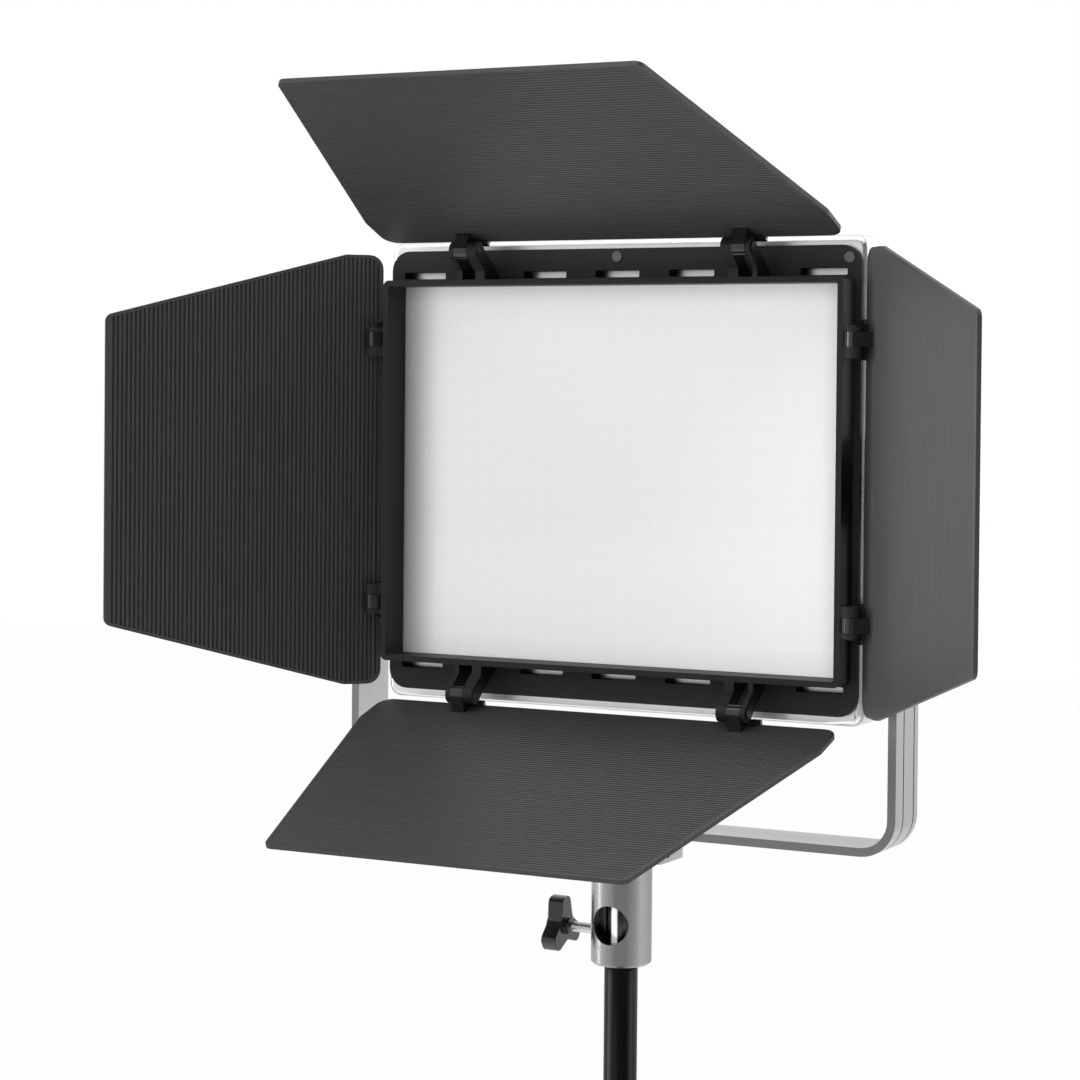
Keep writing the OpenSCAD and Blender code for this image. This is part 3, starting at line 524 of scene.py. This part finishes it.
def spigot_material():
    """Dark metal with a painted highlight: a bright, faintly glowing stripe along x = 0."""
    m = metal("stand_spigot", (0.10, 0.10, 0.105), rough=0.30, fine=900.0)
    from_middle = m.math("ABSOLUTE", m.split(m.position)["X"])
    painted_highlight = m.ramp(from_middle, span=(0.0018, 0.0012))
    # painted highlight: a bright, faintly glowing stripe down the middle
    m.tint(painted_highlight, (0.85, 0.85, 0.85))
    m.drive("Emission Color", WHITE)
    m.drive("Emission Strength", m.math("MULTIPLY", painted_highlight, 0.42))
    return m


def post(name, radius, bottom, top, material):
    """A closed upright cylinder on the Z axis with chamfered ends."""
    rings = [(radius - POST_CHAMFER, bottom), (radius, bottom + POST_CHAMFER),
             (radius, top - POST_CHAMFER), (radius - POST_CHAMFER, top)]
    count = POST_SEGMENTS
    turns = [2 * math.pi * i / count for i in range(count)]
    vertices = [(r * math.cos(turn), r * math.sin(turn), z) for r, z in rings for turn in turns]
    faces = []
    for low in range(0, (len(rings) - 1) * count, count):
        for i in range(count):
            j = (i + 1) % count
            faces.append((low + i, low + j, low + count + j, low + count + i))
    faces.append(tuple(reversed(range(count))))
    faces.append(tuple(range((len(rings) - 1) * count, len(rings) * count)))
    stage_mesh(name, vertices, faces, material, smooth=True)


floor_signs = [(-1, -1), (1, -1), (1, 1), (-1, 1)]
stage_mesh("studio_floor", [(x * FLOOR_REACH, y * FLOOR_REACH, FLOOR_Z) for x, y in floor_signs],
           [(0, 1, 2, 3)], floor_material())
post("stand_pole", POLE_RADIUS, FLOOR_Z, 0.0,
     plastic("stand_black", (0.005, 0.005, 0.005), rough=0.24, grain_scale=900.0,
             strength=0.05, specular=0.22))
post("stand_spigot", SPIGOT_RADIUS, 0.0, SPIGOT_TOP, spigot_material())

# ---------------------------------------------------------------- world and lights


def studio_world():
    """Bright soft room with a dark patch at the front right; the camera sees plain white."""
    patch_turn = math.radians(42)   # from -Y towards +X
    world = bpy.data.worlds.new("studio")
    SCENE.world = world
    world.use_nodes = True
    tree = world.node_tree
    tree.nodes.clear()
    output = add_node(tree, "ShaderNodeOutputWorld")
    rays = add_node(tree, "ShaderNodeLightPath")
    backdrop = add_node(tree, "ShaderNodeBackground", {"Color": WHITE, "Strength": 1.0})
    direction = add_node(tree, "ShaderNodeTexCoord").outputs["Generated"]
    towards_patch = add_node(tree, "ShaderNodeVectorMath", {
        0: direction, 1: (math.sin(patch_turn), -math.cos(patch_turn), 0.0)},
        operation="DOT_PRODUCT")
    strength = add_node(tree, "ShaderNodeMapRange", {
        "From Min": 0.50, "From Max": 0.84, "To Min": 0.80, "To Max": 0.03,
        "Value": towards_patch.outputs["Value"]}, interpolation_type="SMOOTHSTEP")
    room = add_node(tree, "ShaderNodeBackground", {
        "Color": WHITE, "Strength": strength.outputs["Result"]})
    mix = add_node(tree, "ShaderNodeMixShader", {
        "Fac": rays.outputs["Is Camera Ray"], 1: room.outputs[0], 2: backdrop.outputs[0]})
    feed(tree, output.inputs["Surface"], mix.outputs[0])


# area lights, all aimed at the lamp's middle: name, place, size and size_y, watts, and
# whether reflections show it
LIGHTS = [
    ("key_left", (-1.9, -1.1, 0.8), (1.0, 1.4), 10, True),
    ("side_right", (2.0, 0.5, 0.6), (1.0, 1.4), 5, True),
    ("top", (0.0, -0.5, 1.9), (1.6, 1.2), 10, True),
    ("front_fill", (0.9, -2.0, 0.5), (1.2, 1.2), 17, False),
    ("back", (0.6, 1.8, 1.0), (1.4, 1.4), 6, True),
    ("strip_left", (-1.9, -0.75, 0.3), (0.14, 1.8), 3.5, True),
    ("strip_top", (0.1, -1.2, 1.7), (1.8, 0.10), 5, True),
]


def area_light(name, place, size, watts, glossy):
    data = bpy.data.lights.new(name, "AREA")
    data.energy = watts
    data.shape = "RECTANGLE"
    data.size, data.size_y = size
    light = bpy.data.objects.new(name, data)
    SCENE.collection.objects.link(light)
    light.location = place
    light.visible_glossy = glossy
    aim = Vector((0, 0, TILT_Z)) - Vector(place)
    light.rotation_euler = aim.to_track_quat("-Z", "Y").to_euler()


studio_world()
for light in LIGHTS:
    area_light(*light)

# ---------------------------------------------------------------- camera

# turns from the object's axes to the camera's, radians
CAMERA_YAW = -0.483
CAMERA_PITCH = 0.019
CAMERA_ROLL = 0.009
# middle of the frame plate's front, from the camera: right, forward, up
FRAME_FROM_CAMERA = (0.035412, 1.309163, -0.018464)
SENSOR_WIDTH = 36       # mm
LENS = 92.39856667      # mm
LENS_SHIFT = (-0.00024722222, -0.09598888889)


def camera_axes(yaw, pitch, roll):
    """Rotation whose rows are the camera's right, forward and up."""
    cos_yaw, sin_yaw = math.cos(yaw), math.sin(yaw)
    cos_pitch, sin_pitch = math.cos(pitch), math.sin(pitch)
    cos_roll, sin_roll = math.cos(roll), math.sin(roll)
    about_z = np.array([[cos_yaw, -sin_yaw, 0], [sin_yaw, cos_yaw, 0], [0, 0, 1]])
    about_x = np.array([[1, 0, 0], [0, cos_pitch, -sin_pitch], [0, sin_pitch, cos_pitch]])
    about_y = np.array([[cos_roll, 0, sin_roll], [0, 1, 0], [-sin_roll, 0, cos_roll]])
    return about_y @ about_x @ about_z


def place_camera():
    axes = camera_axes(CAMERA_YAW, CAMERA_PITCH, CAMERA_ROLL)
    right, forward, up = axes
    place = np.array([0, FRAME_FRONT_Y, TILT_Z]) - axes.T @ np.array(FRAME_FROM_CAMERA)
    data = bpy.data.cameras.new("camera")
    camera = bpy.data.objects.new("camera", data)
    SCENE.collection.objects.link(camera)
    SCENE.camera = camera
    data.sensor_width = SENSOR_WIDTH
    data.lens = LENS
    data.shift_x, data.shift_y = LENS_SHIFT
    data.clip_end = 50
    matrix = Matrix.Identity(4)
    for i in range(3):
        for column, axis in enumerate((right, up, -forward, place)):
            matrix[i][column] = axis[i]
    camera.matrix_world = matrix


place_camera()
SCENE.view_settings.view_transform = "Standard"
SCENE.view_settings.look = "None"
SCENE.view_settings.exposure = 0.0
